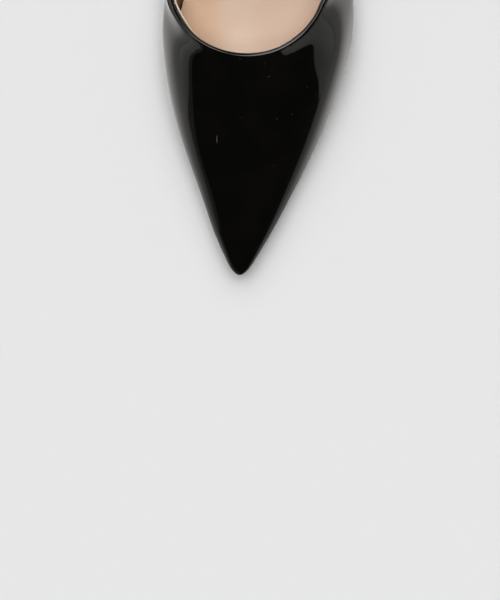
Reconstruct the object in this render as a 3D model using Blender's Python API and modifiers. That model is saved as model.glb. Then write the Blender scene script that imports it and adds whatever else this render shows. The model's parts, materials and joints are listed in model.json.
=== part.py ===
"""Pointed-toe stiletto mule for the left foot, made as its maker's pieces.

The pieces are a lasted upper, an insole, an outsole, a slim heel and the heel's top piece.
Run it with: blender --background --python part.py

Plan positions are given from the toe tip: "back" is the distance towards the heel, and
"across" is the distance from the shoe's axis, to the medial or to the lateral side.
All sizes are in millimetres, and MM turns them into Blender's metres.
"""

import math
from collections import namedtuple

import bmesh
import bpy
import numpy as np

MM = 0.001
MEDIAL, LATERAL = -1, 1

# Clearance between pieces that meet
GAP = 0.3

# Bottom line of the last, seen from the side
SOLE_THICKNESS = 2.6
TOE_SPRING = 5.4
TREAD_FRONT = 68.0
TREAD_BACK = 108.0
SEAT_FRONT = 203.0
SEAT_FRONT_HEIGHT = 58.0
SEAT_FRONT_SLOPE = 0.62
HEEL_BACK = 252.0
HEEL_HEIGHT = 78.0
SEAT_BACK_SLOPE = 0.24

# Plan of the last
AXIS_SLOPE = 0.035
TIP_BULGE = 0.5
TOE_NOSE = 6.0
HEEL_ROUND = 29.0

# Upper
WALL = 1.8
THROAT_BACK = 91.4
THROAT_RADIUS = 35.4
THROAT_ACROSS = 0.1
THROAT_HALF_ANGLE = math.radians(66.0)
WING_END = {MEDIAL: 147.0, LATERAL: 152.0}
WING_END_RISE = 3.0
WING_END_SLOPE = -0.25
TAUT = 0.9
TAUT_FROM = {MEDIAL: 92.0, LATERAL: 94.0}
TAUT_TO = {MEDIAL: 112.0, LATERAL: 121.0}
TOPLINE_FLARE = 1.15
WALL_STEPS = 40
FLANK_RIBS = 28
WING_RIBS = 12
RIB_ROWS = 21
TIP_CROWDING = 1.5
FEATHER_CROWDING = 1.8
CROWDED_LENGTH = 40.0

# Insole and outsole
INSOLE_THICKNESS = 3.0
INSOLE_INSET = WALL + GAP
BARE_INSOLE_INSET = 0.4
HEEL_CUP = 1.4
HEEL_CUP_FRONT = 185.0
HEEL_CUP_BACK = 240.0
OUTSOLE_INSET = 0.7
WAIST_INSET = 3.4
OUTSOLE_WAIST = (142.0, 185.0)
INSOLE_WAIST = (152.0, 190.0)
NARROWEST_STATION = 1.6
SOLE_STATIONS = 50
SOLE_COLUMNS = 6
EDGE_ROUND = 0.45

# Heel and its top piece
BREAST = 200.0
HEEL_INSET = 2.6
TIP_WIDTH = 9.6
TIP_DEPTH = 9.6
TIP_BACK = 242.0
TOP_PIECE_HEIGHT = 6.0
TOP_PIECE_TAPER = 0.35
SIDE_FLARE = 4.2
BACK_FLARE = 2.2
FRONT_FLARE = 4.4
HEEL_RINGS = 22
RING_CROWDING = 1.3
RING_POINTS = 26

# Half widths of the feather line, where upper and sole meet
Footprint = namedtuple("Footprint", "back medial lateral")
FOOTPRINT = (
    Footprint(0.5, 3.1, 2.9),
    Footprint(6.0, 4.5, 4.7),
    Footprint(15.0, 8.2, 9.0),
    Footprint(32.0, 14.2, 17.0),
    Footprint(58.0, 23.9, 28.5),
    Footprint(83.0, 30.8, 37.1),
    Footprint(100.0, 33.0, 40.7),
    Footprint(117.0, 30.7, 40.3),
    Footprint(130.0, 26.9, 37.4),
    Footprint(145.0, 23.0, 32.8),
    Footprint(160.0, 20.6, 28.4),
    Footprint(180.0, 18.8, 24.8),
    Footprint(200.0, 21.0, 24.4),
    Footprint(220.0, 25.4, 26.2),
    Footprint(252.0, 27.0, 27.0),
)

# Cross sections of the last over the feather line. A bulge is how far the widest line stands
# out from the feather line, and heights are above the feather line. A higher shoulder makes
# steeper walls under a flatter top.
Section = namedtuple(
    "Section",
    "back medial_bulge lateral_bulge medial_widest lateral_widest crown shoulder",
)
SECTIONS = (
    Section(0.0, 0.6, 0.8, 3.6, 3.6, 8.6, 3.6),
    Section(6.0, 1.2, 1.5, 4.4, 4.4, 9.8, 3.6),
    Section(15.0, 1.8, 2.2, 5.6, 5.4, 13.2, 3.6),
    Section(32.0, 2.4, 2.8, 7.4, 7.0, 18.6, 3.6),
    Section(58.0, 2.9, 3.3, 9.6, 8.8, 27.0, 3.6),
    Section(83.0, 3.1, 3.7, 11.4, 10.2, 35.6, 3.3),
    Section(100.0, 3.3, 3.9, 12.6, 11.2, 39.2, 3.0),
    Section(117.0, 5.3, 4.2, 14.6, 12.6, 39.2, 2.6),
    Section(135.0, 7.2, 5.3, 17.5, 15.0, 37.6, 2.4),
    Section(165.0, 8.0, 6.6, 20.0, 18.0, 34.0, 2.4),
)

Side = namedtuple("Side", "x back out_x out_back length")


# Curves
def spline(knots, values):
    """A natural cubic curve through one column of a table."""
    knots = np.asarray(knots, float)
    values = np.asarray(values, float)
    gaps = np.diff(knots)
    slopes = np.diff(values) / gaps
    matrix = np.eye(len(knots))
    right = np.zeros(len(knots))
    for i in range(1, len(knots) - 1):
        matrix[i, i - 1 : i + 2] = gaps[i - 1], 2 * (gaps[i - 1] + gaps[i]), gaps[i]
        right[i] = 6 * (slopes[i] - slopes[i - 1])
    bend = np.linalg.solve(matrix, right)

    def at(where):
        where = np.asarray(where, float)
        i = np.clip(np.searchsorted(knots, where) - 1, 0, len(gaps) - 1)
        b = (where - knots[i]) / gaps[i]
        a = 1 - b
        cubic = (a**3 - a) * bend[i] + (b**3 - b) * bend[i + 1]
        return a * values[i] + b * values[i + 1] + cubic * gaps[i] ** 2 / 6

    return at


def columns(table):
    """Each column of a table as a smooth curve over the distance back from the toe."""
    rows = np.array(table, float)
    return {name: spline(rows[:, 0], rows[:, i]) for i, name in enumerate(table[0]._fields) if i}


def hermite(where, start, end):
    """A cubic from start to end, each given as (place, height, slope)."""
    (x0, y0, m0), (x1, y1, m1) = start, end
    span = x1 - x0
    t = (np.asarray(where, float) - x0) / span
    return (
        (2 * t**3 - 3 * t**2 + 1) * y0
        + (t**3 - 2 * t**2 + t) * span * m0
        + (3 * t**2 - 2 * t**3) * y1
        + (t**3 - t**2) * span * m1
    )


def rounding(distance, reach):
    """Grows from 0 to 1 over reach as a quarter circle does."""
    return np.sqrt(1 - (1 - np.clip(np.asarray(distance, float) / reach, 0, 1)) ** 2)


def smoothstep(where, start, end):
    t = np.clip((np.asarray(where, float) - start) / (end - start), 0, 1)
    return t * t * (3 - 2 * t)


# The last
FEATHER = columns(FOOTPRINT)
SECTION = columns(SECTIONS)


def axis(back):
    """Where the shoe's axis lies across, from the toe tip to the middle of the heel."""
    return AXIS_SLOPE * np.asarray(back, float)


def bottom(back):
    """Height of the feather line: toe spring, flat tread, shank and heel seat."""
    back = np.asarray(back, float)
    tread = (TREAD_BACK, SOLE_THICKNESS, 0.0)
    seat_front = (SEAT_FRONT, SEAT_FRONT_HEIGHT, SEAT_FRONT_SLOPE)
    seat_back = (HEEL_BACK, HEEL_HEIGHT, SEAT_BACK_SLOPE)
    toe = SOLE_THICKNESS + TOE_SPRING * ((TREAD_FRONT - back) / TREAD_FRONT) ** 2
    return np.select(
        [back < TREAD_FRONT, back < TREAD_BACK, back < SEAT_FRONT],
        [toe, np.full_like(back, SOLE_THICKNESS), hermite(back, tread, seat_front)],
        hermite(back, seat_front, seat_back),
    )


def feather_side(side):
    """One side's feather line from the toe tip round to the middle of the heel back."""
    turn = np.linspace(0, math.pi, 1500)
    back = TIP_BULGE + (HEEL_BACK - TIP_BULGE) * (1 - np.cos(turn)) / 2
    flank = FEATHER["medial" if side == MEDIAL else "lateral"](back)
    toe = rounding(back - TIP_BULGE, TOE_NOSE)
    heel = rounding(HEEL_BACK - back, HEEL_ROUND)
    x = axis(back) + side * flank * toe * heel
    along_x = np.gradient(x, turn, edge_order=2)
    along_back = np.gradient(back, turn, edge_order=2)
    speed = np.hypot(along_x, along_back)
    step = np.hypot(np.diff(x), np.diff(back))
    length = np.concatenate([[0], np.cumsum(step)])
    return Side(x, back, side * along_back / speed, -side * along_x / speed, length)


SIDES = {side: feather_side(side) for side in (MEDIAL, LATERAL)}


def section_column(side, name, back):
    last_section = SECTIONS[-1].back
    prefix = "medial_" if side == MEDIAL else "lateral_"
    return SECTION[prefix + name](np.clip(back, 0, last_section))


def inset(side, distance):
    """The side's feather line moved inwards, as plan points. A negative distance moves it out."""
    line = SIDES[side]
    return line.x - distance * line.out_x, line.back - distance * line.out_back


def widest_line(side):
    """The upper's widest line in plan, which the outline from above shows."""
    return inset(side, -section_column(side, "bulge", SIDES[side].back))


WIDEST = {side: widest_line(side) for side in (MEDIAL, LATERAL)}


def crown_height(x, back):
    """Height of the last's upper surface over a plan point inside the widest line."""
    across = x - axis(back)
    height = np.zeros_like(across)
    for side in (MEDIAL, LATERAL):
        line_x, line_back = WIDEST[side]
        half_width = np.interp(back, line_back, np.abs(line_x - axis(line_back)))
        share = np.clip(np.abs(across) / np.maximum(half_width, 1e-6), 0, 1)
        widest = section_column(side, "widest", back)
        rise = (SECTION["crown"](back) - widest) * rounding(back, TOE_NOSE)
        arch = np.sqrt(1 - share ** SECTION["shoulder"](back))
        height = np.where(side * across >= 0, bottom(back) + widest + rise * arch, height)
    return height


# The upper
def lower_wall(side, length, steps=WALL_STEPS):
    """A rib from the feather line out to the widest line, in (x, back, height) points."""
    line = SIDES[side]
    start = np.array([np.interp(length, line.length, v) for v in (line.x, line.back)])
    end = np.array([np.interp(length, line.length, v) for v in WIDEST[side]])
    foot = bottom(start[1]) + GAP
    head = bottom(end[1]) + section_column(side, "widest", end[1])
    t = np.linspace(0, 1, steps)[:, None]
    plan = start + (end - start) * (1 - (1 - t) ** 2)
    return np.hstack([plan, foot + (head - foot) * t])


def crown_rib(start, end, steps=240):
    """A rib over the crown between two plan points."""
    t = 1 - np.cos(np.linspace(0, math.pi / 2, steps))[:, None]
    plan = np.asarray(start) + (np.asarray(end) - np.asarray(start)) * t
    return np.hstack([plan, crown_height(plan[:, 0], plan[:, 1])[:, None]])


def spread(points, count, crowding):
    """The points spaced again along their length, closer together at the start."""
    length = np.concatenate([[0], np.cumsum(np.linalg.norm(np.diff(points, axis=0), axis=1))])
    wanted = length[-1] * np.linspace(0, 1, count) ** crowding
    return np.stack([np.interp(wanted, length, points[:, i]) for i in range(3)], axis=1)


def crowding(rib):
    """How close together a rib's rows are at its foot: short ribs have even rows."""
    length = np.linalg.norm(np.diff(rib, axis=0), axis=1).sum()
    return 1 + (FEATHER_CROWDING - 1) * min(length / CROWDED_LENGTH, 1)


def throat_point(side, angle):
    """A plan point of the topline's round throat, at an angle from its middle."""
    x = axis(THROAT_BACK) + THROAT_ACROSS + side * THROAT_RADIUS * math.sin(angle)
    return np.array([x, THROAT_BACK + THROAT_RADIUS * (1 - math.cos(angle))])


def length_at(side, back, line_back):
    """How far along the side's feather line a line on it reaches a distance back."""
    return float(np.interp(back, line_back, SIDES[side].length))


def wing_top(side):
    """Height of the topline over the wing, from the throat's end down to the sole."""
    end_angle, nudge = THROAT_HALF_ANGLE, 0.01
    (x0, back0), (x1, back1) = (throat_point(side, end_angle - step) for step in (nudge, 0))
    height0, height1 = crown_height(np.array([x0, x1]), np.array([back0, back1]))
    start = (back1, height1, (height1 - height0) / (back1 - back0))
    end_back = WING_END[side]
    end = (end_back, float(bottom(end_back)) + GAP + WING_END_RISE, WING_END_SLOPE)
    return lambda back: hermite(np.clip(back, back1, end_back), start, end)


def cut_at(points, top):
    """The rib up to where it crosses the topline."""
    over = points[:, 2] - top(points[:, 1])
    i = int(np.argmax(over >= 0))
    share = -over[i - 1] / (over[i] - over[i - 1])
    crossing = points[i - 1] + share * (points[i] - points[i - 1])
    return np.vstack([points[:i], crossing])


def throat_line(side, back):
    """How far across the round throat reaches at a distance back, and its height there."""
    end_back = throat_point(side, THROAT_HALF_ANGLE)[1]
    rise = (np.clip(back, THROAT_BACK, end_back) - THROAT_BACK) / THROAT_RADIUS
    x = axis(THROAT_BACK) + THROAT_ACROSS + side * THROAT_RADIUS * np.sqrt(1 - (1 - rise) ** 2)
    return np.abs(x - axis(back)), crown_height(x, back)


def taut(rib, side, top_across, top_height):
    """The rib drawn straighter from its widest line up to the topline, as towards the wings."""
    upper = rib[WALL_STEPS - 1 :]
    x, back, height = upper.T
    line_x, line_back = WIDEST[side]
    half_width = np.interp(back, line_back, np.abs(line_x - axis(line_back)))
    foot = bottom(back) + section_column(side, "widest", back)
    reach = (half_width - np.abs(x - axis(back))) / (half_width - top_across)
    straight = foot + (top_height - foot) * np.clip(reach, 0, 1) ** TOPLINE_FLARE
    share = TAUT * smoothstep(back, TAUT_FROM[side], TAUT_TO[side])
    drawn = np.stack([x, back, height + share * (straight - height)], axis=1)
    return np.vstack([rib[: WALL_STEPS - 1], drawn])


def side_ribs(side):
    """The ribs of one side, from the wing's end forwards to just short of the toe tip."""
    junction = throat_point(side, THROAT_HALF_ANGLE)
    junction_length = length_at(side, junction[1], WIDEST[side][1])
    end_length = length_at(side, WING_END[side], SIDES[side].back)
    top = wing_top(side)
    ribs = []
    for share in np.linspace(1, 0, WING_RIBS, endpoint=False):
        wall = lower_wall(side, junction_length + share * (end_length - junction_length))
        x, back = wall[-1, :2]
        crown = crown_rib((x, back), (axis(back), back))
        rib = cut_at(np.vstack([wall, crown[1:]]), top)
        if len(rib) > WALL_STEPS:
            rib = taut(rib, side, abs(rib[-1, 0] - axis(back)), rib[-1, 2])
        ribs.append(rib)
    for share in np.linspace(0, 1, FLANK_RIBS, endpoint=False):
        wall = lower_wall(side, junction_length * (1 - share) ** TIP_CROWDING)
        crown = crown_rib(wall[-1, :2], throat_point(side, THROAT_HALF_ANGLE * (1 - share)))
        ribs.append(taut(np.vstack([wall, crown[1:]]), side, *throat_line(side, crown[:, 1])))
    return ribs


def upper_ribs():
    """All ribs of the upper, from the medial wing round the toe to the lateral wing."""
    tip_wall = lower_wall(MEDIAL, 0.0)
    tip = np.vstack([tip_wall, crown_rib(tip_wall[-1, :2], throat_point(MEDIAL, 0.0))[1:]])
    ribs = [*side_ribs(MEDIAL), tip, *reversed(side_ribs(LATERAL))]
    return [spread(rib, RIB_ROWS, crowding(rib)) for rib in ribs]


# Meshes
def grid_object(name, ribs):
    """An open surface whose rows run along the ribs."""
    mesh = bmesh.new()
    rows = [[mesh.verts.new(point * MM) for point in rib] for rib in ribs]
    for left, right in zip(rows, rows[1:]):
        for i in range(len(left) - 1):
            mesh.faces.new((right[i], right[i + 1], left[i + 1], left[i]))
    return mesh_object(name, mesh)


def ring_object(name, rings):
    """A closed solid through rings of points, its ends closed by strips across the end rings."""
    mesh = bmesh.new()
    loops = [[mesh.verts.new(point * MM) for point in ring] for ring in rings]
    for low, high in zip(loops, loops[1:]):
        for i in range(len(low)):
            mesh.faces.new((low[i - 1], low[i], high[i], high[i - 1]))
    for end in (loops[0], loops[-1]):
        far = end[::-1]
        for i in range(len(end) // 2 - 1):
            mesh.faces.new((end[i], end[i + 1], far[i + 1], far[i]))
    bmesh.ops.recalc_face_normals(mesh, faces=mesh.faces)
    return mesh_object(name, mesh)


def mesh_object(name, mesh):
    data = bpy.data.meshes.new(name)
    mesh.to_mesh(data)
    mesh.free()
    data.shade_smooth()
    data.set_sharp_from_angle(angle=math.radians(40))
    return bpy.data.objects.new(name, data)


# The pieces
def make_upper():
    """The lasted shell, open at the throat, at the back and underneath."""
    upper = grid_object("upper", upper_ribs())
    wall = upper.modifiers.new("wall", "SOLIDIFY")
    wall.thickness = WALL * MM
    wall.offset = -1
    wall.use_even_offset = True
    return upper


def rounded(piece):
    """The piece with its hard edges eased."""
    ease = piece.modifiers.new("eased edges", "BEVEL")
    ease.width = EDGE_ROUND * MM
    ease.segments = 2
    ease.limit_method = "ANGLE"
    ease.angle_limit = math.radians(50)
    return piece


def sole_rings(edges, top, underside):
    """Rings across the sole at stations between two edges, with its top and underside heights."""
    (medial_x, medial_back), (lateral_x, lateral_back) = edges
    share = np.linspace(0, 1, SOLE_COLUMNS + 1)[:, None]
    rings = []
    for i in range(len(medial_x)):
        medial = np.array([medial_x[i], medial_back[i]])
        lateral = np.array([lateral_x[i], lateral_back[i]])
        plan = medial + (lateral - medial) * share
        upper_edge = np.hstack([plan, top(plan, share)])
        lower_edge = np.hstack([plan, underside(plan)])
        rings.append(np.vstack([upper_edge, lower_edge[::-1]]))
    return rings


def waisted(front_inset, back_inset, waist):
    """Both feather lines moved inwards by one distance before the waist and another behind it."""
    edges = []
    for side in (MEDIAL, LATERAL):
        behind = smoothstep(SIDES[side].back, *waist)
        edges.append(inset(side, front_inset + (back_inset - front_inset) * behind))
    return edges


def stations(edges, last_back):
    """The stations of two edges that are wide enough for a ring, evenly spread along them."""
    (medial_x, medial_back), (lateral_x, lateral_back) = edges
    wide = lateral_x - medial_x > NARROWEST_STATION
    inside = (medial_back <= last_back) & (lateral_back <= last_back)
    usable = np.flatnonzero(wide & inside)
    picked = usable[np.linspace(0, len(usable) - 1, SOLE_STATIONS).round().astype(int)]
    return [(x[picked], back[picked]) for x, back in edges]


def make_insole():
    """The board and its sock, as wide as the inside of the upper, cupped at the heel."""
    edges = stations(waisted(INSOLE_INSET, BARE_INSOLE_INSET, INSOLE_WAIST), HEEL_BACK)

    def top(plan, share):
        back = plan[:, 1:]
        cup = smoothstep(back, HEEL_CUP_FRONT, SEAT_FRONT) * smoothstep(back, HEEL_BACK, HEEL_CUP_BACK)
        dish = HEEL_CUP * cup * (1 - (2 * share - 1) ** 2)
        return bottom(back) + GAP + INSOLE_THICKNESS - dish

    def underside(plan):
        return bottom(plan[:, 1:]) + GAP

    return rounded(ring_object("insole", sole_rings(edges, top, underside)))


def make_outsole():
    """The thin sole under the forefoot and waist, ending at the heel's breast."""
    edges = stations(waisted(OUTSOLE_INSET, WAIST_INSET, OUTSOLE_WAIST), BREAST - GAP)
    for _, back in edges:
        back[-1] = BREAST - GAP

    def top(plan, share):
        return bottom(plan[:, 1:])

    def underside(plan):
        return bottom(plan[:, 1:]) - SOLE_THICKNESS

    return rounded(ring_object("outsole", sole_rings(edges, top, underside)))


def heel_seat():
    """The heel's top outline in plan, from the breast's lateral corner round to its medial one."""
    rim = []
    for side, order in ((LATERAL, 1), (MEDIAL, -1)):
        x, back = inset(side, HEEL_INSET)
        corner = [[np.interp(BREAST, back, x), BREAST, 0.0]]
        behind = back > BREAST
        flat = np.stack([x[behind], back[behind], np.zeros(behind.sum())], axis=1)
        rim.append(np.vstack([corner, flat])[::order])
    return spread(np.vstack(rim), RING_POINTS, 1.0)[:, :2]


def heel_tip(width, depth):
    """The D-shaped outline of the heel's tip, with its points in the seat's order."""
    turn = np.linspace(0, math.pi, RING_POINTS - 2)
    round_back = np.stack([np.cos(turn), np.sin(turn) - 1], axis=1) * width / 2
    corners = np.array([[width / 2, -depth], [-width / 2, -depth]])
    return np.vstack([corners[:1], round_back, corners[1:]]) + [axis(TIP_BACK), TIP_BACK]


def make_heel():
    """The stiletto: the seat's outline drawn in fast to a slim stem."""
    seat = heel_seat()
    tip = heel_tip(TIP_WIDTH, TIP_DEPTH)
    seat_height = bottom(seat[:, 1])
    tip_height = TOP_PIECE_HEIGHT + GAP
    forward = (seat[:, 1].max() - seat[:, 1]) / (seat[:, 1].max() - BREAST)
    depth_flare = BACK_FLARE + (FRONT_FLARE - BACK_FLARE) * forward
    rings = []
    for share in np.linspace(0, 1, HEEL_RINGS) ** RING_CROWDING:
        left = 1 - share
        x = tip[:, 0] + (seat[:, 0] - tip[:, 0]) * left**SIDE_FLARE
        back = tip[:, 1] + (seat[:, 1] - tip[:, 1]) * left**depth_flare
        rings.append(np.stack([x, back, seat_height * left + tip_height * share], axis=1))
    return ring_object("heel", rings)


def make_top_piece():
    """The hard-wearing tip that the heel stands on."""
    rings = []
    for height, taper in ((0.0, TOP_PIECE_TAPER), (TOP_PIECE_HEIGHT, 0.0)):
        outline = heel_tip(TIP_WIDTH - taper, TIP_DEPTH - taper)
        rings.append(np.hstack([outline, np.full((len(outline), 1), height)]))
    return rounded(ring_object("top_piece", rings))


def finish(name, colour, roughness, coat=0.0):
    """A Principled material."""
    material = bpy.data.materials.new(name)
    material.use_nodes = True
    shader = material.node_tree.nodes["Principled BSDF"]
    shader.inputs["Base Color"].default_value = (*colour, 1.0)
    shader.inputs["Roughness"].default_value = roughness
    shader.inputs["Metallic"].default_value = 0.0
    shader.inputs["Coat Weight"].default_value = coat
    return material


def last_frame():
    """The empty that carries the pieces, so that the middle of the plan stands at the origin."""
    frame = bpy.data.objects.new("last_frame", None)
    frame.location.x = -(WIDEST[MEDIAL][0].min() + WIDEST[LATERAL][0].max()) / 2 * MM
    frame.location.y = -(HEEL_BACK - BARE_INSOLE_INSET) / 2 * MM
    return frame


def main():
    for leftover in list(bpy.data.objects):
        bpy.data.objects.remove(leftover)
    shoe = bpy.data.collections.new("stiletto_mule")
    bpy.context.scene.collection.children.link(shoe)
    frame = last_frame()
    shoe.objects.link(frame)
    pieces = (
        (make_upper(), finish("black patent leather", (0.008, 0.008, 0.009), 0.12, coat=1.0)),
        (make_insole(), finish("nude leather", (0.62, 0.45, 0.33), 0.55)),
        (make_outsole(), finish("black sole", (0.02, 0.02, 0.02), 0.55)),
        (make_heel(), finish("black patent heel cover", (0.008, 0.008, 0.009), 0.12, coat=1.0)),
        (make_top_piece(), finish("black top piece", (0.015, 0.015, 0.015), 0.45)),
    )
    for piece, material in pieces:
        piece.data.materials.append(material)
        piece.parent = frame
        shoe.objects.link(piece)


main()
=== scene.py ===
import json
import math

import bmesh
import bpy
from mathutils.kdtree import KDTree
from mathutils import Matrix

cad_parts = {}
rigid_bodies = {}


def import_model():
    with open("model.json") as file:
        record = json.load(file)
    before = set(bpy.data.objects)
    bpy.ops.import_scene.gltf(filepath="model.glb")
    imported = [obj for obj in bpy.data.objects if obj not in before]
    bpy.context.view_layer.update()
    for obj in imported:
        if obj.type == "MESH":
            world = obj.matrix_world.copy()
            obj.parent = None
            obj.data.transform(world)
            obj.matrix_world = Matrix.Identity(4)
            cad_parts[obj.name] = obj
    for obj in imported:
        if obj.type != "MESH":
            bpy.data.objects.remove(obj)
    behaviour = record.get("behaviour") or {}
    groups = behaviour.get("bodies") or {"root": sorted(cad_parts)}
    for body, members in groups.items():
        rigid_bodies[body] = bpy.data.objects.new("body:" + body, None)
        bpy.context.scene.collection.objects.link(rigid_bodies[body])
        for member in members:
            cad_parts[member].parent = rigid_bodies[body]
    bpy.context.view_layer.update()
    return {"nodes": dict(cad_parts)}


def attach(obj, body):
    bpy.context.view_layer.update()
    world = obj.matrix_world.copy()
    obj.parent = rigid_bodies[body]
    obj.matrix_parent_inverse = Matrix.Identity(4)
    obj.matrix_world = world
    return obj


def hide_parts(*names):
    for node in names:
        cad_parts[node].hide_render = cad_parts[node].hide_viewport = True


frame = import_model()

# Looks of the stiletto mule, in metres, in the frame of its CAD model:
# the toe points to -Y, the heel to +Y, and +X is the lateral side of this left shoe.

MM = 0.001

# Topline: an open edge behind the toe and above the sole's edge, which climbs towards the heel
TOPLINE_FRONT = -0.05
SOLE_EDGE = 0.0075
SOLE_CLIMB = 0.5

# Patent leather, and the fold along its topline; spans run from none to all of an effect
LEATHER_WALL = 1.2 * MM
FOLD_WALL = 4.2 * MM
FOLD_ROUND = 1.45 * MM
FOLD_REACH = 10.0 * MM
FOLD_FRONT = -0.0052
FOLD_FLANK_SPAN = (0.004, 0.026)
FOLD_FRONT_SHARE = 0.5
FOLD_MEDIAL_SHARE = 0.6
FOLD_MEDIAL_ROUND = 0.75
FOLD_MEDIAL_SPAN = (-0.006, -0.020)
FOLD_LATERAL_SHARE = 0.62
FOLD_LATERAL_REACH = 0.6 * MM
FOLD_LATERAL_SPAN = (0.004, 0.020)
UPTURN = 0.55 * MM
UPTURN_REACH = 6.0 * MM
WING_END_SPAN = (0.009, 0.020)
WING_END_ROUND = 0.3

# Leather pulled tight at the throat's corners: how far its gloss leans across and along the shoe
PULL_LATERAL_REACH = 7.6 * MM
PULL_LATERAL_IN, PULL_LATERAL_OUT = (0.006, 0.012), (0.026, 0.019)
PULL_LATERAL_LEAN, PULL_LATERAL_LESS, PULL_LATERAL_LESS_SPAN = (0.75, 0.22), 0.35, (0.012, 0.022)
PULL_MEDIAL_REACH = 9.12 * MM
PULL_MEDIAL_SPAN = (-0.020, -0.024)
PULL_MEDIAL_LEAN = (-0.34, 0.10)
PULL_CLEAR_SPAN = (0.9 * MM, 1.8 * MM)

# Lining
LINING_WALL = 0.7 * MM
LINING_DROP_MEDIAL = 0.45 * MM
LINING_DROP_LATERAL = 2.6 * MM
LINING_LATERAL_SPAN = (-0.022, -0.010)
LINING_DROP_WINGS = 0.8 * MM
LINING_BACK = 3.0 * MM
LINING_BACK_SHARE = 0.35
GLUE_LINE = 0.05 * MM

# Insole and heel
SOCK_MARGIN = 0.6 * MM
SOCK_WALL = 0.6 * MM
SOCK_ROUND = 0.3 * MM
SOCK_FRONT = -0.112
SOCK_FACING = 0.6
HEEL_ROUND = 0.35 * MM

# Camera and studio
CAMERA_PLACE = (-0.00346, -0.1362, 1.0)
CAMERA_LENS = 139.3
SENSOR = 36.0
FLOOR_SIZE = 9.0
FLOOR_FRONT = -0.132
FLOOR_SLANT = 0.36
SHOE_MIDDLE = (-0.02, 0.02)
LAMP_TINT = (1.0, 0.985, 0.96)

# Suns: name, lean back and width in degrees, energy
SUNS = (("overhead", 4, 44, 1.66), ("behind", 26, 60, 1.24))
SUN_ROLL = -1.8

# Panels in the gloss: name, x, front, back, top, rounded corner, glow at the floor and at the top
PANELS = (
    ("left panel", -0.9, -0.405, 1.4, 0.43, 0.2, 0.64, 0.46),
    ("left wall", -0.95, -0.55, 1.4, 0.6, 0.26, 0.16, 0.14),
    ("right panel", 0.9, -0.455, 1.4, 0.76, 0.22, 0.5, 0.4),
)

# Lamps in the gloss: direction, width, brightness
LAMPS = (
    ((-0.30, 0.88, 0.36), 0.2, 1.7),
    ((-0.47, 0.42, 0.78), 0.2, 2.6),
    ((-0.26, 0.70, 0.66), 0.28, 2.4),
    ((-0.12, 0.40, 0.91), 0.25, 5.0),
)


# Hand tools
def pick(piece):
    """Selects one piece alone."""
    bpy.ops.object.select_all(action="DESELECT")
    piece.select_set(True)
    bpy.context.view_layer.objects.active = piece


def open_mesh(piece, mode="FACE"):
    """Goes into edit mode on a piece with nothing selected."""
    pick(piece)
    bpy.ops.object.mode_set(mode="EDIT")
    bpy.ops.mesh.select_mode(type=mode)
    bpy.ops.mesh.select_all(action="DESELECT")


def close_mesh():
    bpy.ops.object.mode_set(mode="OBJECT")


def choose(piece, kind, test):
    """Selects the verts, edges or faces of the open mesh that pass a test."""
    mesh = bmesh.from_edit_mesh(piece.data)
    for element in getattr(mesh, kind):
        element.select_set(False)
    for element in getattr(mesh, kind):
        if test(element):
            element.select_set(True)
    bmesh.update_edit_mesh(piece.data)


def copy_of(node, name, quads=True):
    """A copy of a CAD node with its loose triangles merged, and turned back into quads."""
    piece = bpy.data.objects.new(name, frame["nodes"][node].data.copy())
    piece.data.name = name
    piece.data.materials.clear()
    bpy.context.scene.collection.objects.link(piece)
    open_mesh(piece)
    bpy.ops.mesh.select_all(action="SELECT")
    bpy.ops.mesh.remove_doubles(threshold=0.01 * MM)
    if quads:
        to_quads()
    close_mesh()
    return piece


def twin_of(piece, name):
    """A copy of a piece with its own mesh."""
    pick(piece)
    bpy.ops.object.duplicate()
    twin = bpy.context.active_object
    twin.name = twin.data.name = name
    return twin


def to_quads():
    """Turns the open mesh's triangles back into the quads they came from."""
    bpy.ops.mesh.select_all(action="SELECT")
    bpy.ops.mesh.tris_convert_to_quads(face_threshold=math.pi, shape_threshold=math.pi, topology_influence=1.0)


def eased(value, low, high):
    """Eased share of a value's way from low to high."""
    share = min(max((value - low) / (high - low), 0), 1)
    return share * share * (3 - 2 * share)


def work(piece, kind, **settings):
    """Adds a modifier and applies it."""
    pick(piece)
    modifier = piece.modifiers.new(kind, kind)
    for name, value in settings.items():
        setattr(modifier, name, value)
    bpy.ops.object.modifier_apply(modifier=modifier.name)


def subdivide(piece, levels, **settings):
    work(piece, "SUBSURF", levels=levels, render_levels=levels, **settings)


def round_edges(piece, width, angle):
    """Rounds the edges that are sharper than an angle."""
    work(piece, "BEVEL", width=width, segments=2, limit_method="ANGLE", angle_limit=math.radians(angle),
         use_clamp_overlap=False)


def dress(piece, node, slot, *materials):
    """Gives a finished piece its materials and its place on the frame."""
    pick(piece)
    bpy.ops.object.shade_smooth_by_angle(angle=math.radians(40))
    for material in materials:
        piece.data.materials.append(material)
    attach(piece, "root")
    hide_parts(node)


# Shader tools
def fill(tree, node, inputs):
    """Fills a node's inputs with values or with other nodes' outputs."""
    for name, value in inputs.items():
        if isinstance(value, bpy.types.NodeSocket):
            tree.links.new(value, node.inputs[name])
        else:
            node.inputs[name].default_value = value
    return node


def put(tree, kind, inputs=None, **settings):
    """Adds a node, sets its options and fills its inputs."""
    node = tree.nodes.new("ShaderNode" + kind)
    for name, value in settings.items():
        setattr(node, name, value)
    return fill(tree, node, inputs or {})


def sums(tree, operation, first, second):
    return put(tree, "Math", {0: first, 1: second}, operation=operation).outputs[0]


def times(tree, first, *others):
    for other in others:
        first = sums(tree, "MULTIPLY", first, other)
    return first


def size_of(tree, value):
    return put(tree, "Math", {0: value}, operation="ABSOLUTE").outputs[0]


def axes_of(tree, place):
    return put(tree, "SeparateXYZ", {0: place}).outputs


def spread(tree, value, start, end, low=0.0, high=1.0):
    """Low at start and before, high at end and after, straight between them."""
    inputs = {"Value": value, "From Min": start, "From Max": end, "To Min": low, "To Max": high}
    return put(tree, "MapRange", inputs).outputs[0]


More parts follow.
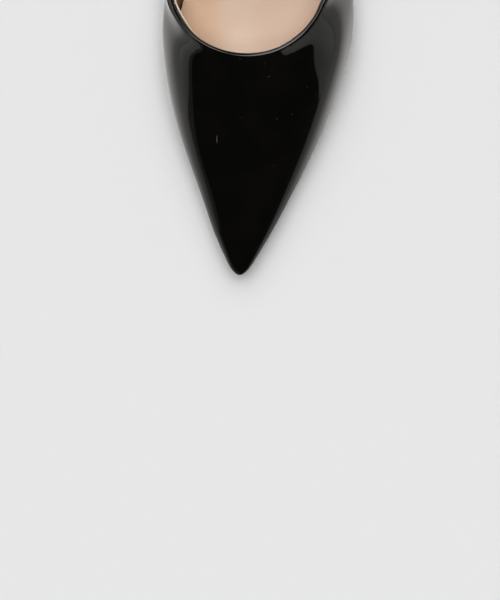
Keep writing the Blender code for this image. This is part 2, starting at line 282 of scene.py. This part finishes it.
def ramp(tree, value, low, high):
    """0 at low and before, 1 at high and after, eased between them."""
    inputs = {"Value": value, "From Min": low, "From Max": high}
    return put(tree, "MapRange", inputs, interpolation_type="SMOOTHSTEP").outputs[0]


def blend(tree, share, first, second):
    """One colour laid over another by a share."""
    mix = put(tree, "Mix", {0: share, 6: first, 7: second}, data_type="RGBA")
    return mix.outputs[2]


def group(name, inputs, outputs):
    """A shader group with its named sockets."""
    tree = bpy.data.node_groups.new(name, "ShaderNodeTree")
    for socket, kind, value in inputs:
        made = tree.interface.new_socket(socket, in_out="INPUT", socket_type="NodeSocket" + kind)
        if value is not None:
            made.default_value = value
    for socket, kind in outputs:
        tree.interface.new_socket(socket, in_out="OUTPUT", socket_type="NodeSocket" + kind)
    return tree, tree.nodes.new("NodeGroupInput").outputs, tree.nodes.new("NodeGroupOutput").inputs


def use(tree, shared, inputs):
    """Places a shared group in a material."""
    node = tree.nodes.new("ShaderNodeGroup")
    node.node_tree = shared
    return fill(tree, node, inputs).outputs


def material(name, **constants):
    """A Principled material with its constant values, its tree, shader and object coordinates."""
    made = bpy.data.materials.new(name)
    made.use_nodes = True
    tree = made.node_tree
    shader = tree.nodes["Principled BSDF"]
    for socket, value in constants.items():
        shader.inputs[socket.replace("_", " ")].default_value = value
    place = put(tree, "TexCoord").outputs["Object"]
    return made, tree, shader, place


def bump(tree, height, distance):
    return put(tree, "Bump", {"Height": height, "Distance": distance}).outputs[0]


def feed(tree, shader, **values):
    """Links varying values to the shader's sockets."""
    fill(tree, shader, {socket.replace("_", " "): value for socket, value in values.items()})


def colour(red, green, blue):
    return (red, green, blue, 1.0)


def spot(tree, place, x, y, wide, long):
    """A soft mark seen from above, at a place in millimetres."""
    part = axes_of(tree, place)
    across = sums(tree, "DIVIDE", sums(tree, "SUBTRACT", part["X"], x * MM), wide * MM)
    along = sums(tree, "DIVIDE", sums(tree, "SUBTRACT", part["Y"], y * MM), long * MM)
    away = sums(tree, "ADD", times(tree, across, across), times(tree, along, along))
    return ramp(tree, away, 1.0, 0.4)


def add_marks(tree, place, specks, marks):
    """The specks with marks from a table among them."""
    for x, y, wide, long, share in marks:
        specks = sums(tree, "MAXIMUM", specks, times(tree, spot(tree, place, x, y, wide, long), share))
    return specks


# Shared effects
def make_soft_waves():
    """The slight unevenness of lasted leather, as a height and as patches of tone."""
    tree, given, put_out = group(
        "soft waves",
        (("Vector", "Vector", None), ("Long", "Float", 60.0), ("Short", "Float", 320.0)),
        (("Height", "Float"), ("Patches", "Float")),
    )
    long = put(tree, "TexNoise", {"Vector": given["Vector"], "Scale": given["Long"], "Detail": 1.0})
    short = put(tree, "TexNoise", {"Vector": given["Vector"], "Scale": given["Short"], "Detail": 1.0})
    height = sums(tree, "ADD", times(tree, short.outputs["Fac"], 0.16), long.outputs["Fac"])
    tree.links.new(height, put_out["Height"])
    tree.links.new(ramp(tree, long.outputs["Fac"], 0.36, 0.64), put_out["Patches"])
    return tree


def make_leather_grain():
    """Fine pebbled grain: cells with creases between them, and pores."""
    tree, given, put_out = group(
        "leather grain",
        (("Vector", "Vector", None), ("Scale", "Float", 900.0)),
        (("Height", "Float"), ("Creases", "Float")),
    )
    bend = put(tree, "TexNoise", {"Vector": given["Vector"], "Scale": 260.0, "Detail": 2.0})
    reach = (1.2 * MM, 1.2 * MM, 1.2 * MM)
    shift = put(tree, "VectorMath", {0: bend.outputs["Color"], 1: reach}, operation="MULTIPLY").outputs[0]
    moved = put(tree, "VectorMath", {0: given["Vector"], 1: shift}, operation="ADD").outputs[0]
    cells = put(tree, "TexVoronoi", {"Vector": moved, "Scale": given["Scale"]}, feature="DISTANCE_TO_EDGE")
    creases = ramp(tree, cells.outputs["Distance"], 0.16, 0.0)
    fine = put(tree, "TexNoise", {"Vector": given["Vector"], "Scale": 2600.0, "Detail": 2.0})
    height = sums(tree, "SUBTRACT", times(tree, fine.outputs["Fac"], 0.5), creases)
    tree.links.new(height, put_out["Height"])
    tree.links.new(creases, put_out["Creases"])
    return tree


def make_dust():
    """A few specks of dust, far apart."""
    tree, given, put_out = group(
        "dust",
        (("Vector", "Vector", None), ("Scale", "Float", 160.0), ("Size", "Float", 0.05), ("Share", "Float", 0.06)),
        (("Specks", "Float"),),
    )
    cells = put(tree, "TexVoronoi", {"Vector": given["Vector"], "Scale": given["Scale"]})
    near = sums(tree, "LESS_THAN", cells.outputs["Distance"], given["Size"])
    lot = put(tree, "SeparateColor", {"Color": cells.outputs["Color"]}).outputs[0]
    tree.links.new(times(tree, near, sums(tree, "LESS_THAN", lot, given["Share"])), put_out["Specks"])
    return tree


soft_waves = make_soft_waves()
leather_grain = make_leather_grain()
dust = make_dust()


# Finishes
def make_patent(name, marks=(), pulled=False):
    """Black patent leather: a deep gloss that is not quite flat, with a little dust and its own marks."""
    made, tree, shader, place = material(name, IOR=1.5, Coat_Weight=0.0)
    waves = use(tree, soft_waves, {"Vector": place, "Long": 70.0, "Short": 330.0})
    specks = use(tree, dust, {"Vector": place, "Scale": 150.0, "Size": 0.035, "Share": 0.05})["Specks"]
    specks = add_marks(tree, place, specks, marks)
    black = blend(tree, waves["Patches"], colour(0.0022, 0.0021, 0.0018), colour(0.0030, 0.0028, 0.0024))
    gloss = spread(tree, waves["Patches"], 0.0, 1.0, 0.045, 0.06)
    normal = bump(tree, waves["Height"], 0.05 * MM)
    if pulled:
        lean = put(tree, "Attribute", attribute_name="lean").outputs["Vector"]
        leaning = put(tree, "VectorMath", {0: normal, 1: lean}, operation="ADD").outputs[0]
        normal = put(tree, "VectorMath", {0: leaning}, operation="NORMALIZE").outputs[0]
    feed(
        tree, shader,
        Base_Color=blend(tree, specks, black, colour(0.075, 0.075, 0.075)),
        Roughness=sums(tree, "MAXIMUM", gloss, times(tree, specks, 0.5)),
        Normal=normal,
    )
    return made


def make_nude_leather(name, light, deep, grain_scale, medial=None, foot_shade=None, marks=()):
    """Smooth nude leather with a fine grain and a slight change of tone.
    It is painted darker on the medial side, and darker towards the bottom of a wall, where those are given:
    painted shade from the walls."""
    made, tree, shader, place = material(name, IOR=1.45, Specular_IOR_Level=0.3)
    waves = use(tree, soft_waves, {"Vector": place, "Long": 38.0, "Short": 500.0})
    grain = use(tree, leather_grain, {"Vector": place, "Scale": grain_scale})
    specks = use(tree, dust, {"Vector": place, "Scale": 90.0, "Size": 0.03, "Share": 0.08})["Specks"]
    specks = add_marks(tree, place, specks, marks)
    tone = blend(tree, waves["Patches"], light, deep)
    part = axes_of(tree, place)
    # painted shade: the medial side darker and warmer, as if shaded by the medial wall
    if medial:
        tone = blend(tree, ramp(tree, part["X"], -0.009, -0.023), tone, medial)
    # painted shade: darker towards the bottom of the wall
    if foot_shade:
        tone = blend(tree, ramp(tree, part["Z"], 0.014, 0.006), tone, foot_shade)
    creased = blend(tree, times(tree, grain["Creases"], 0.10), tone, deep)
    feed(
        tree, shader,
        Base_Color=blend(tree, times(tree, specks, 0.6), creased, colour(0.09, 0.06, 0.045)),
        Roughness=spread(tree, grain["Height"], -1.0, 1.0, 0.62, 0.5),
        Normal=bump(tree, grain["Height"], 0.02 * MM),
    )
    return made


def make_black_leather(name, light, deep, low, high):
    """Black leather or rubber without the lacquer: fine grain and rubbed places."""
    made, tree, shader, place = material(name, IOR=1.5)
    waves = use(tree, soft_waves, {"Vector": place, "Long": 110.0, "Short": 900.0})
    grain = use(tree, leather_grain, {"Vector": place, "Scale": 1100.0})
    tone = blend(tree, waves["Patches"], colour(*light), colour(*deep))
    feed(
        tree, shader,
        Base_Color=blend(tree, times(tree, grain["Creases"], 0.5), tone, colour(0.003, 0.003, 0.003)),
        Roughness=spread(tree, waves["Patches"], 0.0, 1.0, low, high),
        Normal=bump(tree, grain["Height"], 0.03 * MM),
    )
    return made


# Marks on the vamp and on the sock: x, y, half width and half length in mm, share
VAMP_MARKS = (
    (7.8, -60.6, 0.2, 0.24, 0.8), (14.1, -58.7, 0.26, 0.16, 0.5), (-6.8, -60.2, 0.16, 0.2, 0.5),
    (6.6, -79.9, 0.18, 0.18, 0.5), (-7.6, -36.6, 0.3, 0.2, 0.55), (20.4, -47.5, 0.2, 0.16, 0.5),
    (28.1, -32.8, 0.22, 0.18, 0.9), (-17.3, -69.0, 0.2, 1.9, 0.9), (4.3, -43.6, 0.9, 0.22, 0.22),
    (5.6, -41.6, 0.3, 0.5, 0.14), (2.6, -38.4, 0.2, 0.2, 0.3),
)
SOCK_MARKS = ((-5.0, -24.4, 0.2, 0.2, 0.9),)
patent = make_patent("black patent leather", marks=VAMP_MARKS, pulled=True)
heel_patent = make_patent("black patent heel cover")
# The sock's medial colour is painted shade from the medial wall.
nude_sock = make_nude_leather(
    "nude sock leather", colour(0.70, 0.545, 0.43), colour(0.645, 0.48, 0.37), 1500.0,
    medial=colour(0.625, 0.43, 0.295), marks=SOCK_MARKS,
)
# The lining's dark brown low on its wall is painted shade.
nude_lining = make_nude_leather(
    "nude lining leather", colour(0.66, 0.48, 0.36), colour(0.58, 0.40, 0.285), 1700.0,
    foot_shade=colour(0.21, 0.115, 0.06),
)
raw_edge = make_nude_leather(
    "raw edge of the lining", colour(0.67, 0.555, 0.42), colour(0.62, 0.50, 0.37), 2200.0,
)
black_wrap = make_black_leather("black insole wrap", (0.012, 0.012, 0.012), (0.008, 0.008, 0.008), 0.42, 0.55)
black_sole = make_black_leather("black sole", (0.022, 0.021, 0.020), (0.014, 0.014, 0.014), 0.5, 0.68)
black_tip = make_black_leather("black top piece", (0.016, 0.016, 0.016), (0.011, 0.011, 0.011), 0.45, 0.6)


# Upper
def lasted_skin():
    """The CAD upper's outer skin, without thickness."""
    skin = copy_of("upper", "upper_leather", quads=False)
    open_mesh(skin, "EDGE")
    bpy.ops.mesh.edges_select_sharp(sharpness=math.radians(50))
    bpy.ops.mesh.mark_sharp()
    close_mesh()
    open_mesh(skin)
    widest = max(skin.data.polygons, key=lambda face: face.center.x).index
    choose(skin, "faces", lambda face: face.index == widest)
    bpy.ops.mesh.select_linked(delimit={"SHARP"})
    bpy.ops.mesh.select_all(action="INVERT")
    bpy.ops.mesh.delete(type="FACE")
    to_quads()
    bpy.ops.mesh.mark_sharp(clear=True)
    close_mesh()
    subdivide(skin, 2, boundary_smooth="PRESERVE_CORNERS")
    work(skin, "CORRECTIVE_SMOOTH", factor=0.5, iterations=30, use_only_smooth=True, use_pin_boundary=True,
         smooth_type="SIMPLE")
    return skin


def on_topline(edge):
    """Whether an open edge of the skin is at its topline, and not at the sole."""
    middle = (edge.verts[0].co + edge.verts[1].co) / 2
    sole = SOLE_EDGE + SOLE_CLIMB * max(middle.y, 0)
    return edge.is_boundary and middle.y > TOPLINE_FRONT and middle.z > sole


def wing_end(place):
    """0 in front of the wings' back ends, 1 at them. The fold thins out there."""
    return eased(place.y, *WING_END_SPAN)


def weigh_fold(skin):
    """Weights for the fold and for the upturn beside it. Gives back the topline's places."""
    open_mesh(skin, "EDGE")
    choose(skin, "edges", on_topline)
    close_mesh()
    rim = [vert.co.copy() for vert in skin.data.vertices if vert.select]
    topline = KDTree(len(rim))
    for index, place in enumerate(rim):
        topline.insert(place, index)
    topline.balance()
    fold = skin.vertex_groups.new(name="fold")
    upturn = skin.vertex_groups.new(name="upturn")
    for vert in skin.data.vertices:
        away = topline.find(vert.co)[2]
        upturned = max(1 - away / UPTURN_REACH, 0) ** 2 * min(1 - vert.normal.z, 1)
        upturn.add([vert.index], upturned, "REPLACE")
        near = eased(away, FOLD_REACH, 0) * (1 - wing_end(vert.co))
        flank = eased(abs(vert.co.x - FOLD_FRONT), *FOLD_FLANK_SPAN)
        full = FOLD_LATERAL_SHARE if vert.co.x > FOLD_FRONT else FOLD_MEDIAL_SHARE
        fold.add([vert.index], near * (FOLD_FRONT_SHARE + (full - FOLD_FRONT_SHARE) * flank), "REPLACE")
    return topline


def pull_corners(skin, topline):
    """How the gloss leans outwards beside the fold, at the throat's two corners, where the leather is tight."""
    leans = []
    for vert in skin.data.vertices:
        away = topline.find(vert.co)[2]
        x = vert.co.x
        if x > 0:
            reach = PULL_LATERAL_REACH
            share = eased(x, *PULL_LATERAL_IN) * eased(x, *PULL_LATERAL_OUT)
            across, along = PULL_LATERAL_LEAN
            across -= PULL_LATERAL_LESS * eased(x, *PULL_LATERAL_LESS_SPAN)
        else:
            reach = PULL_MEDIAL_REACH
            share = eased(x, *PULL_MEDIAL_SPAN)
            across, along = PULL_MEDIAL_LEAN
        share *= eased(away, reach, 0) * eased(away, *PULL_CLEAR_SPAN)
        leans += (across * share, along * share, 0)
    skin.data.attributes.new("lean", "FLOAT_VECTOR", "POINT").data.foreach_set("vector", leans)


def trim_topline(piece, drop):
    """Moves the topline along the skin, lower by a drop for each place, or higher where that is negative."""
    open_mesh(piece, "EDGE")
    choose(piece, "edges", on_topline)
    mesh = bmesh.from_edit_mesh(piece.data)
    for vert in [vert for vert in mesh.verts if vert.select]:
        inner = [edge.other_vert(vert) for edge in vert.link_edges if not edge.other_vert(vert).select]
        if inner:
            vert.co += (inner[0].co - vert.co).normalized() * drop(vert.co)
    bmesh.update_edit_mesh(piece.data)
    close_mesh()


def raise_fold(place):
    """The lateral fold's slight reach over the throat, as a drop."""
    return -FOLD_LATERAL_REACH * eased(place.x, *FOLD_LATERAL_SPAN) * (1 - wing_end(place))


def make_upper(skin, topline):
    """The patent leather, folded double at its topline into a thick round edge."""
    trim_topline(skin, raise_fold)
    open_mesh(skin, "EDGE")
    mesh = bmesh.from_edit_mesh(skin.data)
    weight = mesh.edges.layers.float.new("bevel_weight_edge")
    for edge in mesh.edges:
        if on_topline(edge):
            place = edge.verts[0].co
            medial = 1 + (FOLD_MEDIAL_ROUND - 1) * eased(place.x, *FOLD_MEDIAL_SPAN)
            edge[weight] = medial * (1 + (WING_END_ROUND - 1) * wing_end(place))
    bmesh.update_edit_mesh(skin.data)
    close_mesh()
    work(skin, "SOLIDIFY", thickness=FOLD_WALL, offset=-1.0, vertex_group="fold",
         thickness_vertex_group=LEATHER_WALL / FOLD_WALL)
    work(skin, "BEVEL", width=FOLD_ROUND, segments=6, limit_method="WEIGHT", use_clamp_overlap=False)
    pull_corners(skin, topline)
    dress(skin, "upper", "patent_leather", patent)


def lining_drop(place):
    """How much lower than the leather the lining is cut: more on the lateral side, and at the wings' ends."""
    start, end = LINING_LATERAL_SPAN
    lateral = min(max((place.x - start) / (end - start), 0), 1)
    drop = LINING_DROP_MEDIAL + (LINING_DROP_LATERAL - LINING_DROP_MEDIAL) * lateral
    return drop + LINING_DROP_WINGS * wing_end(place)


def shorten_wings(lining):
    """Draws the lining's back ends forward, so that they stop short of the leather's."""
    open_mesh(lining, "VERT")
    mesh = bmesh.from_edit_mesh(lining.data)
    for side in (-1, 1):
        wing = [vert for vert in mesh.verts if vert.co.x * side > 0]
        start = max(vert.co.y for vert in wing) - LINING_BACK
        for vert in wing:
            vert.co.y = min(vert.co.y, start + LINING_BACK_SHARE * (vert.co.y - start))
    bmesh.update_edit_mesh(lining.data)
    close_mesh()


def make_lining(lining):
    """The lining inside the patent leather, cut a little lower than the fold and shorter at the wings."""
    open_mesh(lining, "EDGE")
    bpy.ops.mesh.select_all(action="SELECT")
    bpy.ops.transform.shrink_fatten(value=-LEATHER_WALL - GLUE_LINE)
    close_mesh()
    work(lining, "DISPLACE", vertex_group="fold", strength=LEATHER_WALL - FOLD_WALL, mid_level=0.0)
    trim_topline(lining, lining_drop)
    shorten_wings(lining)
    lining.data.materials.append(nude_lining)
    lining.data.materials.append(raw_edge)
    work(lining, "SOLIDIFY", thickness=LINING_WALL, offset=-1.0, material_offset_rim=1)
    dress(lining, "upper", "insole_leather")


# Insole
def make_board():
    """The insole board in its black wrap."""
    board = copy_of("insole", "insole_board")
    subdivide(board, 1)
    dress(board, "insole", "insole_leather", black_wrap)


def make_sock():
    """The nude sock on the board, a little smaller than it, with a soft edge."""
    sock = copy_of("insole", "insole_sock")
    open_mesh(sock)
    bpy.ops.mesh.select_all(action="SELECT")
    bpy.ops.mesh.bisect(plane_co=(0, SOCK_FRONT, 0), plane_no=(0, -1, 0), clear_outer=True)
    choose(sock, "faces", lambda face: face.normal.z < SOCK_FACING)
    bpy.ops.mesh.delete(type="FACE")
    bpy.ops.mesh.select_all(action="SELECT")
    bpy.ops.mesh.inset(thickness=SOCK_MARGIN, use_boundary=True)
    bpy.ops.mesh.select_all(action="INVERT")
    bpy.ops.mesh.delete(type="FACE")
    close_mesh()
    work(sock, "SOLIDIFY", thickness=SOCK_WALL, offset=1.0)
    round_edges(sock, SOCK_ROUND, 50)
    subdivide(sock, 1)
    dress(sock, "insole", "insole_leather", nude_sock)


# Outsole, heel and top piece
def make_outsole():
    """The thin sole with its eased edges."""
    outsole = copy_of("outsole", "outsole_body")
    subdivide(outsole, 1)
    dress(outsole, "outsole", "sole", black_sole)


def make_heel():
    """The heel block in its patent cover."""
    heel = copy_of("heel", "heel_cover")
    round_edges(heel, HEEL_ROUND, 40)
    subdivide(heel, 2)
    dress(heel, "heel", "heel_cover", heel_patent)


def make_top_piece():
    """The hard tip under the heel."""
    tip = copy_of("top_piece", "heel_top_piece")
    subdivide(tip, 1)
    dress(tip, "top_piece", "top_piece", black_tip)


skin = lasted_skin()
topline = weigh_fold(skin)
work(skin, "DISPLACE", vertex_group="upturn", strength=UPTURN, mid_level=0.0)
lining = twin_of(skin, "upper_lining")
make_upper(skin, topline)
make_lining(lining)
make_board()
make_sock()
make_outsole()
make_heel()
make_top_piece()


# Studio
def beside_shoe(tree, part):
    """How far a place on the floor is outside the forefoot's outline, seen from above."""
    along = spread(tree, part["Y"], -0.1265, -0.0265)
    middle = sums(tree, "SUBTRACT", times(tree, along, 0.0076), 0.0081)
    half = times(tree, sums(tree, "POWER", along, 0.8), 0.0408)
    return sums(tree, "SUBTRACT", size_of(tree, sums(tree, "SUBTRACT", part["X"], middle)), half)


def floor_in_gloss(tree, place):
    """How bright the gloss shows the floor: shaded along the shoe, bright beside it, dark before the toe."""
    part = axes_of(tree, place)
    away = beside_shoe(tree, part)
    darkest = spread(tree, part["X"], *SHOE_MIDDLE, 0.7, 0.17)
    shade = spread(tree, away, -0.001, 0.019, darkest, 1.0)
    glare = spread(tree, part["Y"], -0.1, -0.03, 0.05, 1.25)
    lateral = spread(tree, part["X"], *SHOE_MIDDLE, 0.32, 1.0)
    near_glow = times(tree, ramp(tree, away, 0.09, 0.025), glare, lateral)
    far_glow = spread(tree, away, 0.12, 0.6, 0.74, 0.62)
    medial = spread(tree, part["X"], *SHOE_MIDDLE, 1.0, 0.82)
    strength = times(tree, sums(tree, "ADD", near_glow, far_glow), shade, medial)
    outer = sums(tree, "MAXIMUM", sums(tree, "SUBTRACT", size_of(tree, part["X"]), 0.07), 0.0)
    inside = sums(tree, "ADD", sums(tree, "ADD", part["Y"], times(tree, outer, FLOOR_SLANT)), -FLOOR_FRONT)
    near = sums(tree, "ADD", times(tree, ramp(tree, inside, 0.0, 0.08), 0.5), 0.5)
    front = times(tree, ramp(tree, inside, -0.004, 0.004), near)
    dim = times(tree, ramp(tree, inside, -0.08, -0.06), ramp(tree, part["X"], 0.0, -0.02), 0.16)
    return sums(tree, "MAXIMUM", sums(tree, "MAXIMUM", times(tree, strength, front), dim), 0.03)


def make_floor():
    """The plain pale floor, with its own brightness in the gloss."""
    bpy.ops.object.select_all(action="DESELECT")
    bpy.ops.mesh.primitive_plane_add(size=FLOOR_SIZE, location=(0, 0, 0))
    floor = bpy.context.active_object
    floor.name = "floor"
    made, tree, shader, place = material("pale floor", Roughness=0.9, Specular_IOR_Level=0.0)
    patches = put(tree, "TexNoise", {"Vector": place, "Scale": 300.0, "Detail": 2.0}).outputs["Fac"]
    feed(tree, shader, Base_Color=blend(tree, patches, colour(0.795, 0.795, 0.795), colour(0.805, 0.805, 0.805)))
    glow = put(tree, "Emission", {"Color": colour(*LAMP_TINT), "Strength": floor_in_gloss(tree, place)})
    in_gloss = put(tree, "LightPath").outputs["Is Glossy Ray"]
    mixed = put(tree, "MixShader", {0: in_gloss, 1: shader.outputs[0], 2: glow.outputs[0]})
    tree.links.new(mixed.outputs[0], tree.nodes["Material Output"].inputs["Surface"])
    floor.data.materials.append(made)


def make_panel(name, x, front, back, top, corner, low, high):
    """A tall soft panel at one side, seen in the gloss alone, with its front upper corner rounded."""
    bpy.ops.object.select_all(action="DESELECT")
    upright = (0, math.radians(90), 0)
    bpy.ops.mesh.primitive_plane_add(size=1, location=(x, (front + back) / 2, top / 2), rotation=upright)
    panel = bpy.context.active_object
    panel.name = name
    panel.scale = (top, back - front, 1)
    bpy.ops.object.transform_apply()
    open_mesh(panel, "VERT")
    choose(panel, "verts", lambda vert: vert.co.y < front + 0.01 and vert.co.z > top - 0.01)
    bpy.ops.mesh.bevel(offset=corner, segments=12, affect="VERTICES")
    close_mesh()
    made = bpy.data.materials.new(name)
    made.use_nodes = True
    tree = made.node_tree
    tree.nodes.clear()
    part = axes_of(tree, put(tree, "TexCoord").outputs["Object"])
    upwards = spread(tree, part["Z"], 0.0, top, low, high)
    backwards = spread(tree, part["Y"], -0.33, -0.03, 1.0, 1.5)
    glow = put(tree, "Emission", {"Color": colour(*LAMP_TINT), "Strength": times(tree, upwards, backwards)})
    put(tree, "OutputMaterial", {"Surface": glow.outputs[0]})
    panel.data.materials.append(made)
    panel.visible_camera = panel.visible_diffuse = panel.visible_shadow = False


def make_lights():
    """Two broad lights, overhead and from behind, and the soft panels at the sides."""
    for name, back, wide, energy in SUNS:
        turn = (math.radians(-back), math.radians(SUN_ROLL), 0)
        bpy.ops.object.light_add(type="SUN", location=(0, 0, 3), rotation=turn)
        lamp = bpy.context.active_object
        lamp.name = name
        lamp.data.energy = energy
        lamp.data.angle = math.radians(wide)
        lamp.visible_glossy = False
    for panel in PANELS:
        make_panel(*panel)


def make_world():
    """Pale behind the floor; in the gloss a dark room with a lamp above and smaller ones behind and beside it."""
    world = bpy.data.worlds.new("studio")
    bpy.context.scene.world = world
    world.use_nodes = True
    tree = world.node_tree
    path = put(tree, "LightPath").outputs
    facing = put(tree, "TexCoord").outputs["Generated"]
    height = ramp(tree, axes_of(tree, facing)["Z"], 0.0, 0.4)
    gloss = blend(tree, height, colour(0.03, 0.03, 0.03), colour(0.012, 0.012, 0.012))
    for centre, wide, bright in LAMPS:
        apart = put(tree, "VectorMath", {0: facing, 1: centre}, operation="DISTANCE").outputs["Value"]
        glow = colour(*(bright * tint for tint in LAMP_TINT))
        gloss = blend(tree, ramp(tree, apart, wide, wide * 0.7), gloss, glow)
    soft = blend(tree, path["Is Glossy Ray"], colour(0.12, 0.12, 0.12), gloss)
    shown = blend(tree, path["Is Camera Ray"], soft, colour(0.80, 0.80, 0.80))
    tree.links.new(shown, tree.nodes["Background"].inputs["Color"])


def make_camera():
    """Straight above the toe, at the photo's scale."""
    bpy.ops.object.camera_add(location=CAMERA_PLACE, rotation=(0, 0, 0))
    camera = bpy.context.active_object
    camera.data.sensor_fit = "VERTICAL"
    camera.data.sensor_height = SENSOR
    camera.data.lens = CAMERA_LENS
    camera.data.clip_end = 50.0
    bpy.context.scene.camera = camera


make_floor()
make_lights()
make_world()
make_camera()
bpy.context.scene.view_settings.view_transform = "Standard"
